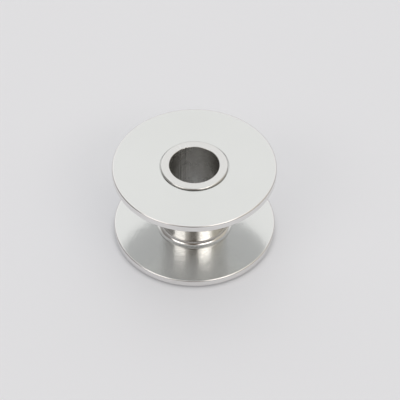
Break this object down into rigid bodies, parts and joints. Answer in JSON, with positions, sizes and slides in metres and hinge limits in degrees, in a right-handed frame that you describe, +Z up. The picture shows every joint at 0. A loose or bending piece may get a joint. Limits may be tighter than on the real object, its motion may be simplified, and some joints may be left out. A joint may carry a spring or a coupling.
{
  "type": "sewing machine bobbin",
  "caption": "Empty metal thread bobbin for a sewing machine: a short tubular core between flat round flanges, with a raised collar round its open bore at each end.",
  "frame": {"origin": "on the bore's axis, in the plane of the lower end collar's face, where the bobbin rests", "axes": "+Z runs up the bore's axis; the bobbin is round about Z, so +X and +Y are any two square directions across it"},
  "size_m": [0.0204, 0.0204, 0.0114],
  "materials": {
    "core": "polished, turned",
    "flange": "satin, with fine concentric turning marks"
  },
  "bodies": {
    "root": {"core_tube": "core", "lower_flange": "flange", "upper_flange": "flange"}
  },
  "joints": []
}
